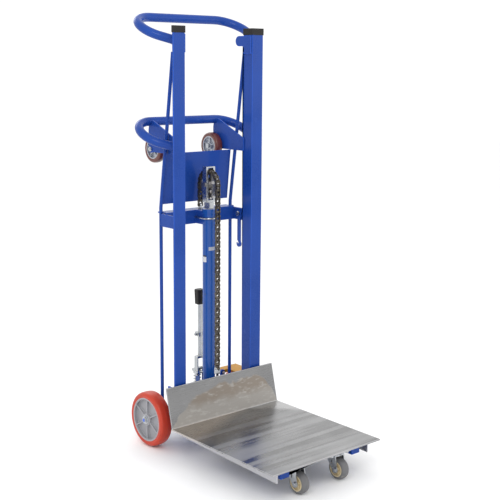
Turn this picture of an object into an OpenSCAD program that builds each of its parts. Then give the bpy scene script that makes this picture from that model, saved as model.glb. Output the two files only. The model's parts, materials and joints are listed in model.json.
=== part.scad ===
// Walkie stacker: a two-post foot-pump lift cart. One hydraulic ram pushes a sprocket up,
// and the chain over it raises the platform twice as fast.
// Millimetres. X is across the cart, -Y is the platform side, Z is up from the floor.
// Inside the modules Y is counted from the rear axle; placed() then centres the whole cart.

/* [Posts] */
// Half of the clear width between the two posts
post_inner = 152.5; // [125:0.5:175]
// Leg width of the post angle
post_leg = 50; // [44:0.5:60]
// Wall of the post angle
post_wall = 6.35; // [4:0.05:8]
// Distance of the post fronts ahead of the rear axle
post_front = 131.3; // [125:0.1:150]
// Height of the post tops
post_top = 1519.5; // [1400:0.5:1830]

/* [Platform] */
// Width of the platform
deck_w = 502; // [450:1:610]
// Height of the deck surface
deck_z = 117.4; // [110:0.1:140]
// Length of the deck from its front edge to the bend
deck_l = 532; // [420:1:640]
// Thickness of the deck sheet
deck_t = 4.8; // [3:0.1:6.5]
// Height of the back plate above the deck
back_h = 141.6; // [130:0.1:180]
// Lean of the back plate
back_lean = 13.5; // [8:0.5:16]
// How far the side skirts sit in from the deck edge
skirt_inset = 37; // [30:1:42]

/* [Base] */
// Side of the square base tube
leg_side = 38.1; // [30:0.1:42]
// Wall of the base tube
leg_wall = 3; // [2:0.1:5]
// How far each tube's centre is outside the post's inner face
leg_out = 13.3; // [10:0.1:15.5]

/* [Wheels] */
// Diameter of the rear wheels
wheel_d = 203.2; // [165:0.1:205]
// Width of the rear wheels
wheel_w = 50.8; // [38:0.1:52]
// Diameter of the caster wheels
caster_d = 76.2; // [64:0.1:80]
// Width of the caster wheels
caster_w = 31.8; // [25:0.1:34]
// Clear width between the caster plate and the base tube
caster_gap = 7.35; // [2:0.05:20]
// Diameter of the dock wheels
dock_d = 101.6; // [80:0.1:110]
// Width of the dock wheels
dock_w = 30; // [25:0.5:31]

/* [Lift] */
// Stroke of the ram, in chain pitches
stroke_pitches = 36; // [24:12:36]
// Height of the sprocket shaft when lowered
sprocket_z = 963; // [940:1:990]
// Outside diameter of the hydraulic barrel
barrel_d = 47; // [38:0.1:57]
// Diameter of the ram rod
ram_d = 25.4; // [22:0.1:28]
// Diameter of the carriage rollers
roller_d = 22.2; // [18:0.1:22.2]

/* [Handles] */
// Diameter of the handle tube
tube_d = 31.8; // [25:0.1:32]
// Bend radius of the handle tube, at its centre line
tube_bend = 88; // [75:1:92]
// Height of the upper handle's cross tube above the post tops
handle_rise = 35.5; // [20:0.5:60]
// Height of the lower handle's cross tube
lower_z = 1188; // [1150:1:1230]

/* [Hidden] */
$fn = 64;
eps = 0.01;                       // overshoot of a cutting tool
gap = 0.3;                        // clearance between pieces that move past each other
fit = 0.05;                       // radial clearance of a running fit

// Colours
BLUE = [0.20, 0.33, 0.66];
ZINC = [0.73, 0.78, 0.82];
STEEL = [0.60, 0.60, 0.62];
BLACK = [0.13, 0.13, 0.13];

// Lengths and places that follow from the driving sizes
post_y = -post_front;                       // front face of the posts
post_rear = post_y + post_leg;              // rear edge of the inner legs
post_outer = post_inner + post_leg;
axle_z = wheel_d / 2;
axle_r = 7.94;
leg_top = deck_z - deck_t - 0.2;            // the lowered deck rests on the base tubes
leg_bottom = leg_top - leg_side;
leg_rear = 22;
leg_x = post_inner + leg_out;
upper_z = post_top + handle_rise;
deck_bend = -179.8;                         // where the deck turns up into the back plate
deck_front = deck_bend - deck_l;
wheel_x = leg_x + leg_side / 2 + 4 + wheel_w / 2;
dock_y = 76;
dock_z = 1089;
dock_r = dock_d / 2;
bracket_t = 5;
dock_x = post_inner - bracket_t - 2 - dock_w / 2;
mid_y = (dock_y + dock_r + deck_front) / 2;
module placed() { translate([0, -mid_y, 0]) children(); }
module both() {
  children();
  mirror([1, 0, 0]) children();
}

// A round bar along X, Y or Z, centred on its length
module bar_x(r, l) { rotate([0, 90, 0]) cylinder(h = l, r = r, center = true); }
module bar_y(r, l) { rotate([90, 0, 0]) cylinder(h = l, r = r, center = true); }
// A profile drawn in (Y, Z), extruded along X from x0 to x1
module along_x(x0, x1) {
  translate([x0, 0, 0]) rotate([90, 0, 90]) linear_extrude(x1 - x0) children();
}
// A slab from corner to corner
module slab(a, b) { translate(a) cube(b - a); }
module hex_nut(r, bore, h) {
  difference() {
    cylinder(h = h, r = r, $fn = 6);
    translate([0, 0, -eps]) cylinder(h = h + 2 * eps, r = bore);
  }
}

// ---- Posts ----
cap_wall = 1.8;
cap_h = 23.5;
tab_t = 6;
tab_z = [post_top - 61.5, post_top - 24.5];
tab_rear = -42;
module angle_outline(grow = 0) {
  translate([post_inner - grow, post_y - grow])
    square([post_leg + 2 * grow, post_wall + 2 * grow]);
  translate([post_inner - grow, post_y - grow])
    square([post_wall + 2 * grow, post_leg + 2 * grow]);
}
module post() {
  translate([0, 0, leg_top]) linear_extrude(post_top - leg_top) angle_outline();
  tab_h = tab_z[1] - tab_z[0];
  along_x(post_inner - tab_t, post_inner) difference() {
    union() {
      translate([post_y + 4, tab_z[0]]) square([tab_rear - tab_h / 2 - post_y - 4, tab_h]);
      translate([tab_rear - tab_h / 2, tab_z[0] + tab_h / 2]) circle(tab_h / 2);
      translate([post_y + 4, tab_z[0] - 26]) square([post_rear - post_y - 4, 27]);
    }
    translate([post_rear + 4, tab_z[0] - 13]) circle(13);
  }
}
module left_post() { placed() color(BLUE) mirror([1, 0, 0]) post(); }
module right_post() { placed() color(BLUE) post(); }
module post_caps() {
  placed() color(BLACK) both() difference() {
    translate([0, 0, post_top + cap_wall - cap_h]) linear_extrude(cap_h) angle_outline(cap_wall);
    translate([0, 0, post_top - 2 * cap_h]) linear_extrude(2 * cap_h) angle_outline();
  }
}

// ---- Crossbar, straps, rods and panel ----
bar_z = 867;                      // top of the crossbar
bar_h = 50;
bar_t = 5;
bar_y0 = -24;
strap_t = 9.5;
strap_lap = 18;                   // length of strap welded along the inner leg
rod_r = 6.35;
rod_x = post_inner + post_wall + strap_t - rod_r;
rod_y = 2.5;
knee_z = 885;
rod_top = tab_z[0] - 24;            // just below the stop tabs
rod_top_y = post_rear + rod_r + 0.6;
barrel_y = -71.4;
clamp_r = 3.2;
saddle_w = barrel_d - 2;
clamp_z = 841;
module rod_foot() {
  translate([rod_x, rod_y, leg_top]) cylinder(h = knee_z - leg_top, r = rod_r);
}
module rod() {
  lean = atan((rod_y - rod_top_y) / (rod_top - knee_z));
  rod_foot();
  translate([rod_x, rod_y, knee_z]) {
    sphere(rod_r);
    rotate([lean, 0, 0]) cylinder(h = (rod_top - knee_z) / cos(lean), r = rod_r);
  }
}
module crossbar() {
  strap_in = post_inner + post_wall;
  placed() color(BLUE) difference() {
    union() {
      slab([-strap_in, bar_y0, bar_z - bar_h], [strap_in, bar_y0 + bar_t, bar_z]);
      slab([-strap_in, bar_y0, bar_z - bar_t], [strap_in, bar_y0 + bar_h, bar_z]);
      slab([-saddle_w / 2, barrel_y, bar_z - bar_h], [saddle_w / 2, bar_y0 + eps, bar_z]);
    }
    translate([0, barrel_y, bar_z - 2 * bar_h]) cylinder(h = 3 * bar_h, r = barrel_d / 2);
    translate([0, barrel_y, barrel_top - gap]) cylinder(h = bar_h, r = barrel_d / 2 + 1.5 + gap);
    both() rod_foot();
    both() translate([barrel_d / 2 + clamp_r, bar_y0, clamp_z]) bar_y(clamp_r, 4 * bar_t);
  }
}
hook_y = -59;
hook_r = 4;
hook_z = 842;
module side_straps() {
  placed() color(BLUE) difference() {
    both() difference() {
      slab([post_inner + post_wall, post_rear - strap_lap, bar_z - bar_h],
           [post_inner + post_wall + strap_t, rod_y, bar_z - bar_t]);
      rod_foot();
    }
    translate([post_inner + post_wall, hook_y, hook_z]) bar_x(hook_r, 4 * strap_t);
  }
}
module truss_rods() { placed() color(BLUE) both() rod(); }
panel_t = 3;
panel_z = [894, 1078.7];
panel_y = [9.2, -11];             // front face at its lower and upper edge
module back_panel() {
  placed() color(BLUE) along_x(-post_inner, post_inner) polygon([
    [panel_y[0], panel_z[0]], [panel_y[0] + panel_t, panel_z[0]],
    [panel_y[1] + panel_t, panel_z[1]], [panel_y[1], panel_z[1]]
  ]);
}

// ---- Handles ----
tube_r = tube_d / 2;
tube_wall = 2.5;
handle_y = 84;
handle_tilt = 25.7;
straight = deck_w / 2 - tube_r - tube_bend;       // the loop is as wide as the deck
// The loop bends until its tail points at the post's inner leg, near the rear edge
foot = [post_inner + post_wall - straight,
        tube_bend - (handle_y - post_rear + 6.4) / cos(handle_tilt)];
handle_sweep = round(90 - atan2(foot[1], foot[0]) - acos(tube_bend / norm(foot)));
module loop(r) {
  bar_x(r, 2 * straight);
  both() translate([straight, -tube_bend, 0]) rotate([0, 0, 90 - handle_sweep]) {
    rotate_extrude(angle = handle_sweep) translate([tube_bend, 0]) circle(r);
    translate([tube_bend, 0, 0]) rotate([90, 0, 0]) cylinder(h = 2 * tube_bend, r = r);
  }
}
module handle(z) {
  difference() {
    translate([0, handle_y, z]) rotate([handle_tilt, 0, 0]) difference() {
      loop(tube_r);
      loop(tube_r - tube_wall);
    }
    slab([-post_inner - post_wall, -4 * post_leg, z - 4 * post_leg],
         [post_inner + post_wall, 0, z]);
  }
}
module upper_handle() { placed() color(BLUE) handle(upper_z); }
module lower_handle() { placed() color(BLUE) handle(lower_z); }

// ---- Dock wheel brackets ----
dock_pin_r = 5;
module dock_brackets() {
  low = panel_z[1] + 0.3;
  placed() color(BLUE) both() difference() {
    along_x(post_inner - bracket_t, post_inner) difference() {
      union() {
        polygon([
          [post_rear - 8, low], [post_rear - 8, low + 47], [handle_y - 26, lower_z + 4],
          [handle_y, lower_z], [dock_y + 13, lower_z - 30], [dock_y + 13, dock_z],
          [dock_y, dock_z - 13], [dock_y - 20, low]
        ]);
        translate([dock_y, dock_z]) circle(13);
      }
      translate([dock_y, dock_z]) circle(dock_pin_r);
    }
    translate([0, handle_y, lower_z]) bar_x(tube_r + gap, 3 * deck_w);
  }
}
brake_x = leg_x - 25.8;
brake_y = 30;
brake_z = 205;
module frame_bolts() {
  grip = dock_w + bracket_t + 4;
  placed() color(ZINC) {
    both() translate([dock_x - grip / 2, dock_y, dock_z]) {
      translate([grip / 2 + 3.5, 0, 0]) bar_x(dock_pin_r, grip + 14);
      translate([grip / 2 - dock_w / 2 - 7.7, 0, 0]) rotate([0, 90, 0])
        hex_nut(9.5, dock_pin_r, 7);
      translate([post_inner - dock_x + grip / 2, 0, 0]) rotate([0, 90, 0])
        hex_nut(9.5, dock_pin_r, 4);
    }
    translate([post_inner + post_wall - hook_t / 2, hook_y, hook_z]) {
      bar_x(hook_r - fit, hook_t + 2 * strap_t);
      translate([-hook_t / 2 - gap - strap_t, 0, 0]) rotate([0, 90, 0])
        cylinder(h = strap_t, r = 9, $fn = 6);
    }
    translate([brake_x, brake_y, brake_z]) {
      translate([0, -brake_pin_r, 0]) bar_y(brake_pin_r - fit, 30);
      translate([0, gap - 1, 0]) rotate([-90, 0, 0]) cylinder(h = 5, r = 8, $fn = 6);
    }
    both() for (dx = [-1, 1], dy = [-1, 1])
      translate([caster_x + dx * plate_bolt[0] / 2, swivel_y + dy * plate_bolt[1] / 2, 0]) {
        translate([0, 0, plate_z - 6]) cylinder(h = 6, r = 6.5, $fn = 6);
        translate([0, 0, plate_z]) cylinder(h = plate_t + member_t, r = bolt_hole_r);
      }
  }
}

// ---- Base frame, axle and caster plates ----
swivel_y = -646;
trail = 22;
plate_t = 3;
plate_z = 92;
plate = [92, 62];
caster_x = leg_x - leg_side / 2 - caster_gap - plate[0] / 2;
plate_bolt = [74, 44];
bolt_hole_r = 4;
member_t = 4;
member_y = [-676, -614];
floor_t = 8;
module base_tube() {
  difference() {
    slab([leg_x - leg_side / 2, member_y[0], leg_bottom], [leg_x + leg_side / 2, leg_rear, leg_top]);
    slab([leg_x - leg_side / 2 + leg_wall, member_y[0] - 1, leg_bottom + leg_wall],
         [leg_x + leg_side / 2 - leg_wall, leg_rear + 1, leg_top - leg_wall]);
  }
}
module base_frame() {
  inner = leg_x - leg_side / 2;
  top = plate_z + plate_t;
  placed() color(BLUE) difference() {
    union() {
      both() base_tube();
      slab([-inner, member_y[0], top], [inner, member_y[1], top + member_t]);
      for (y = [member_y[0], member_y[1] - member_t])
        slab([-inner, y, top], [inner, y + member_t, leg_top]);
      slab([-inner, -98, leg_bottom], [inner, leg_rear, leg_bottom + floor_t]);
      brake_lug();
    }
    translate([0, 0, axle_z]) bar_x(axle_r, 2 * deck_w);
    both() for (dx = [-1, 1], dy = [-1, 1])
      translate([caster_x + dx * plate_bolt[0] / 2, swivel_y + dy * plate_bolt[1] / 2, top - 1])
        cylinder(h = member_t + 2, r = bolt_hole_r);
    translate([brake_x, brake_y, brake_z]) bar_y(brake_pin_r - fit, 80);
  }
}
// An upright lug on the right base tube's rear end holds the brake pivot
module brake_lug() {
  slab([brake_x - 11, leg_rear - 6, leg_bottom], [brake_x + 11, leg_rear, brake_z]);
  translate([brake_x, leg_rear - 3, brake_z]) bar_y(11, 6);
}
module rear_axle() {
  placed() color(STEEL) translate([0, 0, axle_z]) bar_x(axle_r, 2 * (wheel_x + wheel_w / 2 + 10));
}
module axle_nuts() {
  placed() color(ZINC) both() translate([0, 0, axle_z]) rotate([0, 90, 0]) {
    translate([0, 0, leg_x + leg_side / 2]) difference() {
      cylinder(h = 4 - gap, r = 15);
      translate([0, 0, -1]) cylinder(h = 6, r = axle_r);
    }
    translate([0, 0, wheel_x + wheel_w / 2 + gap]) {
      difference() {
        cylinder(h = 2, r = 16);
        translate([0, 0, -1]) cylinder(h = 4, r = axle_r);
      }
      translate([0, 0, 2]) hex_nut(13, axle_r, 6);
    }
  }
}
module caster_plates() {
  placed() color(ZINC) both() difference() {
    union() {
      translate([caster_x - plate[0] / 2, swivel_y - plate[1] / 2, plate_z])
        cube([plate[0], plate[1], plate_t]);
      translate([caster_x, swivel_y, plate_z - 5]) cylinder(h = 5, r = 22);
    }
    for (dx = [-1, 1], dy = [-1, 1])
      translate([caster_x + dx * plate_bolt[0] / 2, swivel_y + dy * plate_bolt[1] / 2, plate_z - 1])
        cylinder(h = plate_t + 2, r = bolt_hole_r);
  }
}

// ---- Hydraulic cylinder and pump ----
barrel_top = 858;
barrel_base = leg_bottom + floor_t;
barrel_wall = 4.5;
bore_r = barrel_d / 2 - barrel_wall;
gland_h = 16;
pump_y = 0;                       // axis of the pump plunger
block_top = 190;
module cylinder_barrel() {
  placed() color(BLUE) translate([0, barrel_y, 0]) difference() {
    union() {
      translate([0, 0, barrel_base]) cylinder(h = barrel_top - barrel_base, r = barrel_d / 2);
      translate([0, 0, barrel_base]) cylinder(h = 14, r = barrel_d / 2 + 3);
    }
    translate([0, 0, barrel_base + 14]) cylinder(h = barrel_top, r = bore_r);
  }
}
module cylinder_gland() {
  placed() color(BLUE) translate([0, barrel_y, barrel_top]) difference() {
    union() {
      cylinder(h = gland_h, r = barrel_d / 2 + 1.5);
      translate([0, 0, -18]) cylinder(h = 18 + eps, r = bore_r);
    }
    translate([0, 0, -20]) cylinder(h = gland_h + 22, r = ram_d / 2 + fit);
  }
}
pivot = [-21, 242];               // pedal pivot, in (Y, Z)
pivot_r = 5;
plunger_r = 9;
plunger_top = 245;
ear_x = 12;
module pump_block() {
  placed() color(BLUE) difference() {
    union() {
      slab([-30, barrel_y + barrel_d / 2, barrel_base], [30, 20, 150]);
      slab([-17, -36, 150 - eps], [17, -10.5, block_top]);
      translate([0, pump_y, 150 - eps]) cylinder(h = block_top - 150, r = 17);
      both() along_x(ear_x, ear_x + 4.5) union() {
        translate([pivot[0] - 12, block_top - 8]) square([21, pivot[1] - block_top + 8]);
        translate([pivot[0] - 1.5, pivot[1]]) circle(10.5);
      }
    }
    translate([0, barrel_y, 0]) cylinder(h = 400, r = barrel_d / 2 + 3);
    translate([0, 0, axle_z]) bar_x(axle_r + 1, 80);
    translate([0, pump_y, block_top - 60]) cylinder(h = 80, r = plunger_r + fit);
    translate([0, pivot[0], pivot[1]]) bar_x(pivot_r + fit, 80);
    translate([0, pump_y, block_top]) cylinder(h = 80, r = spring_r + 3);
    translate([-31, valve_y, valve_z]) bar_x(valve_r + fit, 40);
  }
}
valve_y = -20;
valve_z = 120;
valve_r = 6;
valve_lever = 44;
module release_valve() {
  placed() color(ZINC) {
    translate([-36, valve_y, valve_z]) bar_x(valve_r, 42);
    translate([-54, valve_y, valve_z]) {
      bar_x(9, 10);
      cylinder(h = valve_lever, r = 3.5);
      translate([0, 0, valve_lever]) sphere(6);
    }
  }
}
module pump_plunger() {
  placed() color(ZINC) translate([0, pump_y, 0]) {
    translate([0, 0, block_top - 30]) cylinder(h = plunger_top - block_top + 30, r = plunger_r);
    translate([0, 0, plunger_top - 4]) cylinder(h = 4, r = spring_r + 3);
  }
}
spring_r = 13;                    // radius of the coil's centre line
wire_r = 2.1;
module return_spring() {
  turns = 5;
  rise = (plunger_top - 4 - block_top - 2 * wire_r) / (turns - 1);
  placed() color(ZINC) translate([0, pump_y, block_top + wire_r])
    for (i = [0 : turns - 1]) translate([0, 0, i * rise])
      rotate_extrude() translate([spring_r, 0]) circle(wire_r, $fn = 24);
}
arm_w = 15;
arm_d = 12;
arm_top = 560;
grip_h = 52;
cheek_t = 4.5;
cheek_x = ear_x + 4.5 + gap;
module pedal_arm() {
  placed() color(ZINC) difference() {
    union() {
      slab([-arm_w / 2, pivot[0] - 4, 300], [arm_w / 2, pivot[0] - 4 + arm_d, arm_top]);
      slab([-cheek_x - cheek_t, pivot[0] - 9, 300], [cheek_x + cheek_t, pivot[0] + 11, 308]);
      both() along_x(cheek_x, cheek_x + cheek_t) union() {
        translate([pivot[0] - 9, pivot[1]]) square([20, 308 - pivot[1]]);
        translate([pivot[0], pivot[1]]) circle(11);
        translate([pivot[0], pivot[1] + 4]) square([pump_y - pivot[0], 11.3]);
        translate([pump_y, plunger_top + gap + 6]) circle(6);
      }
      slab([-13, pivot[0] - 7, 384], [13, pivot[0] + 19, 400]);
      translate([-17, pivot[0] + 6, 392]) bar_x(5, 12);
      translate([0, pump_y, plunger_top + gap + 6]) bar_x(6, 2 * cheek_x + 2);
    }
    translate([0, pivot[0], pivot[1]]) bar_x(pivot_r, 80);
  }
  placed() color(STEEL) translate([0, pivot[0], pivot[1]]) {
    bar_x(pivot_r, 2 * (cheek_x + cheek_t + 2));
    both() translate([cheek_x + cheek_t + 1.5, 0, 0]) bar_x(8, 3);
  }
}
module pedal_grip() {
  placed() color(BLACK) difference() {
    slab([-16, pivot[0] - 9, arm_top - grip_h], [16, pivot[0] + arm_d + 9, arm_top + 4]);
    slab([-arm_w / 2, pivot[0] - 4, 0], [arm_w / 2, pivot[0] - 4 + arm_d, arm_top]);
  }
}
module cylinder_clamp() {
  r = barrel_d / 2 + clamp_r;
  placed() color(ZINC) translate([0, barrel_y, clamp_z]) {
    mirror([0, 1, 0]) rotate_extrude(angle = 180) translate([r, 0]) circle(clamp_r);
    both() translate([r, 0, 0]) rotate([-90, 0, 0]) {
      cylinder(h = bar_y0 + bar_t + 12 - barrel_y, r = clamp_r);
      translate([0, 0, bar_y0 + bar_t - barrel_y]) hex_nut(6.5, clamp_r, 5);
    }
  }
}

// ---- Chain ----
pitch = 15.875;
teeth = 20;
wheel_pd = pitch / (2 * sin(180 / teeth));          // pitch radius of the sprocket
front_y = barrel_y - wheel_pd;
rear_y = barrel_y + wheel_pd;
run_links = 43;
rear_links = 5;
section = stroke_pitches / 3;                       // links in each part of the front run
eye_z = sprocket_z - run_links * pitch;
anchor_z = sprocket_z - rear_links * pitch;
link_pin_r = 2.54;
link_bore_r = 2.62;
inner_w = 9.5;                                      // between the inner plates
plate_w = 2.03;
module plate_outline(h) {
  circle(h / 2, $fn = 32);
  translate([0, -pitch]) circle(h / 2, $fn = 32);
  translate([-h / 2 + 1.1, -pitch]) square([h - 2.2, pitch]);
}
// A link hangs from the origin down to -Z by one pitch
module inner_link() {
  difference() {
    union() {
      both() along_x(inner_w / 2, inner_w / 2 + plate_w) plate_outline(14.6);
      for (z = [0, -pitch]) translate([0, 0, z]) bar_x(5.08, inner_w);
    }
    for (z = [0, -pitch]) translate([0, 0, z]) bar_x(link_bore_r, 30);
  }
}
module outer_link() {
  x = inner_w / 2 + plate_w + 0.1;
  both() along_x(x, x + plate_w) plate_outline(13);
  for (z = [0, -pitch]) translate([0, 0, z]) bar_x(link_pin_r, 2 * (x + plate_w) + 2.6);
}
module run(y, first, count) {
  for (i = [first : first + count - 1])
    translate([0, y, sprocket_z - i * pitch]) if (i % 2 == 0) inner_link(); else outer_link();
}
CHAIN = [0.26, 0.24, 0.20];
module chain_run_1() { placed() color(CHAIN) run(front_y, 0, section); }
module chain_run_2() { placed() color(CHAIN) run(front_y, section, section); }
module chain_run_3() { placed() color(CHAIN) run(front_y, 2 * section, section); }
module chain_run_4() {
  placed() color(CHAIN) run(front_y, 3 * section, run_links - 3 * section);
}
module chain_wrap() {
  step = 360 / teeth;
  placed() color(CHAIN) translate([0, barrel_y, sprocket_z]) for (k = [0 : teeth / 2 - 1])
    rotate([-k * step, 0, 0]) translate([0, -wheel_pd, 0]) rotate([180 - step / 2, 0, 0])
      if (k % 2 == 0) outer_link(); else inner_link();
}
module chain_rear() {
  placed() color(CHAIN) for (i = [0 : rear_links - 1])
    translate([0, rear_y, sprocket_z - i * pitch]) if (i % 2 == 0) outer_link(); else inner_link();
}
module chain_anchor() {
  placed() color(ZINC) difference() {
    union() {
      slab([-8, rear_y - 6, bar_z], [8, rear_y + 6, anchor_z - 9]);
      slab([-4.4, rear_y - 6, bar_z], [4.4, rear_y + 6, anchor_z]);
      translate([0, rear_y, anchor_z]) bar_x(6, 8.8);
    }
    translate([0, rear_y, anchor_z]) bar_x(link_bore_r, 30);
  }
}

// ---- Ram, yoke and sprocket ----
yoke_w = 41.4;
yoke_d = 22.3;
yoke_slot = 23;
yoke_z = [sprocket_z - 64, sprocket_z + 66];
shaft_r = 6.35;
nut_h = 22;
module ram_rod() {
  placed() color(ZINC) translate([0, barrel_y, 0]) {
    translate([0, 0, barrel_base + 15]) cylinder(h = yoke_z[0] - barrel_base - 15, r = ram_d / 2);
    translate([0, 0, barrel_base + 15]) cylinder(h = 24, r = bore_r - fit);
  }
}
module ram_nut() {
  placed() color(ZINC) translate([0, barrel_y, yoke_z[0] - nut_h])
    hex_nut(ram_d / 2 + 7, ram_d / 2, nut_h);
}
module yoke() {
  placed() color(ZINC) translate([0, barrel_y, 0]) difference() {
    slab([-yoke_w / 2, -yoke_d / 2, yoke_z[0]], [yoke_w / 2, yoke_d / 2, yoke_z[1]]);
    slab([-yoke_slot / 2, -yoke_d, yoke_z[0] + 8], [yoke_slot / 2, yoke_d, yoke_z[1] - 5]);
    translate([0, 0, sprocket_z]) bar_x(shaft_r, 2 * yoke_w);
  }
}
module sprocket_pin() {
  placed() color(STEEL) translate([0, barrel_y, sprocket_z]) {
    bar_x(shaft_r, yoke_w + 6);
    both() translate([yoke_w / 2 + 1.5, 0, 0]) bar_x(shaft_r + 2.5, 3);
  }
}
module sprocket() {
  w = inner_w - 0.8;
  seat = 5.08 + 0.15;
  placed() color(STEEL) translate([0, barrel_y, sprocket_z]) {
    difference() {
      union() {
        bar_x(wheel_pd + 3.6, w);
        bar_x(17, yoke_slot - 2 * gap);
      }
      bar_x(shaft_r + fit, 2 * yoke_w);
      for (k = [0 : teeth - 1]) rotate([k * 360 / teeth, 0, 0]) translate([0, -wheel_pd, 0]) {
        bar_x(seat, 2 * w);
        along_x(-w, w) polygon([[0, -seat], [0, seat], [-9, seat + 2.3], [-9, -seat - 2.3]]);
      }
      for (k = [0 : 4]) rotate([k * 72, 0, 0]) translate([0, 0, 30]) bar_x(8, 2 * w);
    }
  }
}

// ---- Carriage ----
bend_r = 6;
tan_lean = tan(back_lean);
function back_front(z) = deck_bend + (z - deck_z) * tan_lean;
function back_rear(z) = back_front(z) + deck_t / cos(back_lean);
module platform() {
  top = deck_z + back_h;
  low = deck_z - deck_t;
  start = bend_r * tan((90 - back_lean) / 2);
  placed() color([0.66, 0.66, 0.65]) along_x(-deck_w / 2, deck_w / 2) polygon(concat(
    [[deck_front, low], [deck_bend + deck_t / 2, low], [back_rear(low + deck_t), low + deck_t]],
    [[back_rear(top), top], [back_front(top), top]],
    [for (a = [0 : 15 : 90 - back_lean])
      [deck_bend - start + bend_r * sin(90 - back_lean - a),
       deck_z + bend_r - bend_r * cos(90 - back_lean - a)]],
    [[deck_bend - start, deck_z], [deck_front, deck_z]]
  ));
}
skirt_t = 4.8;
skirt_x = deck_w / 2 - skirt_inset;
module platform_skirts() {
  placed() color([0.66, 0.66, 0.66]) both() along_x(skirt_x - skirt_t, skirt_x) polygon([
    [deck_front + 22, deck_z - deck_t], [deck_front + 22, deck_z - 45],
    [deck_front + 28, deck_z - 45], [deck_bend - 6, deck_z - 32], [deck_bend - 6, deck_z - deck_t]
  ]);
}
arm_x = post_outer + 2.5;
arm_t = 6;
roller_w = 30;
roller_x = post_inner + post_wall + 6 + roller_w / 2;
roller_r = roller_d / 2;
upper = [post_y + post_wall + roller_r + 0.2, 236];
lower = [post_y - roller_r - 0.2, 150];
stud_r = 5;
bracket_z = 232;
module carriage_frame() {
  top = 250;
  placed() color(BLUE) {
    both() {
      along_x(arm_x, arm_x + arm_t) polygon([
        [back_rear(deck_z + 3), deck_z + 3], [post_y + 13, deck_z + 3], [post_y + 13, 200],
        [upper[0] + 14, 220], [upper[0] + 14, top], [back_rear(top), top]
      ]);
      for (p = [upper, lower]) translate([0, p[0], p[1]]) {
        translate([(roller_x - roller_w / 2 - 2 + arm_x) / 2, 0, 0])
          bar_x(stud_r, arm_x - roller_x + roller_w / 2 + 2);
        translate([arm_x + arm_t + 2.5, 0, 0]) bar_x(8, 5);
      }
    }
    difference() {
      union() {
        slab([-32, back_front(bracket_z), bracket_z], [32, front_y + 14, bracket_z + 8]);
        both() along_x(26, 32) polygon([
          [back_front(180), 180], [back_front(180) + 12, 180],
          [front_y + 14, bracket_z], [back_front(bracket_z), bracket_z]
        ]);
      }
      along_x(-60, 60) polygon([
        [back_front(100), 100], [back_rear(100), 100], [back_rear(300), 300],
        [back_front(300) - 20, 300]
      ]);
      translate([0, front_y, bracket_z - 1]) cylinder(h = 10, r = 5);
    }
  }
}
module chain_eye() {
  x = inner_w / 2 + plate_w + 0.1;
  placed() color(ZINC) translate([0, front_y, 0]) {
    translate([0, 0, bracket_z - 22]) cylinder(h = eye_z - 14 - bracket_z + 22, r = 5);
    translate([0, 0, bracket_z - 8]) hex_nut(9, 5, 8);
    translate([0, 0, bracket_z + 8]) hex_nut(9, 5, 8);
    slab([-x - 3, -6, eye_z - 20], [x + 3, 6, eye_z - 10]);
    both() along_x(x, x + 3) union() {
      translate([-6, eye_z - 12]) square([12, 12]);
      translate([0, eye_z]) circle(6);
    }
    translate([0, 0, eye_z]) bar_x(link_pin_r, 2 * x + 9);
  }
}
module roller(side, p) {
  placed() color(STEEL) translate([side * roller_x, p[0], p[1]]) difference() {
    bar_x(roller_r, roller_w);
    bar_x(stud_r + fit, roller_w + 2);
  }
}
module upper_roller_left() { roller(-1, upper); }
module upper_roller_right() { roller(1, upper); }
module lower_roller_left() { roller(-1, lower); }
module lower_roller_right() { roller(1, lower); }

// ---- Wheels ----
// A tyre: a ring with rounded shoulders, its axis along X
module tyre(r, r_in, w, shoulder) {
  rotate([0, 90, 0]) rotate_extrude($fn = 96) difference() {
    union() {
      translate([r_in, -w / 2]) square([r - shoulder - r_in, w]);
      translate([r_in, -w / 2 + shoulder]) square([r - r_in, w - 2 * shoulder]);
      for (s = [-1, 1]) translate([r - shoulder, s * (w / 2 - shoulder)]) circle(shoulder, $fn = 48);
    }
    translate([0, -w]) square([r_in, 2 * w]);
  }
}
// A hub: rim, web, ribs and boss, its axis along X
module hub(r, rim, w, web, boss_r, ribs, bore) {
  difference() {
    union() {
      difference() {
        bar_x(r, w);
        bar_x(r - rim, w + 2);
      }
      bar_x(r - rim / 2, web);
      bar_x(boss_r, w);
      for (k = [0 : ribs - 1]) rotate([k * 360 / ribs, 0, 0])
        translate([-w / 2 + 4, -2, boss_r - 2]) cube([w - 8, 4, r - rim - boss_r + 3]);
    }
    bar_x(bore + fit, w + 2);
  }
}
rim_r = wheel_d / 2 - 20.6;
module wheel_tyre(side) {
  placed() color([0.85, 0.25, 0.18]) translate([side * wheel_x, 0, axle_z])
    tyre(wheel_d / 2, rim_r, wheel_w, 12);
}
module wheel_hub(side) {
  placed() color([0.62, 0.63, 0.65]) translate([side * wheel_x, 0, axle_z])
    hub(rim_r, 6, wheel_w, 24, 22, 6, axle_r);
}
module wheel_tyre_left() { wheel_tyre(-1); }
module wheel_tyre_right() { wheel_tyre(1); }
module wheel_hub_left() { wheel_hub(-1); }
module wheel_hub_right() { wheel_hub(1); }
dock_rim_r = dock_r - 14.8;
module dock_tyre(side) {
  placed() color([0.50, 0.22, 0.18]) translate([side * dock_x, dock_y, dock_z])
    tyre(dock_r, dock_rim_r, dock_w, 8);
}
module dock_hub(side) {
  placed() color([0.55, 0.56, 0.58]) translate([side * dock_x, dock_y, dock_z])
    hub(dock_rim_r, 4, dock_w, 10, 13, 5, dock_pin_r);
}
module dock_tyre_left() { dock_tyre(-1); }
module dock_tyre_right() { dock_tyre(1); }
module dock_hub_left() { dock_hub(-1); }
module dock_hub_right() { dock_hub(1); }

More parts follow.
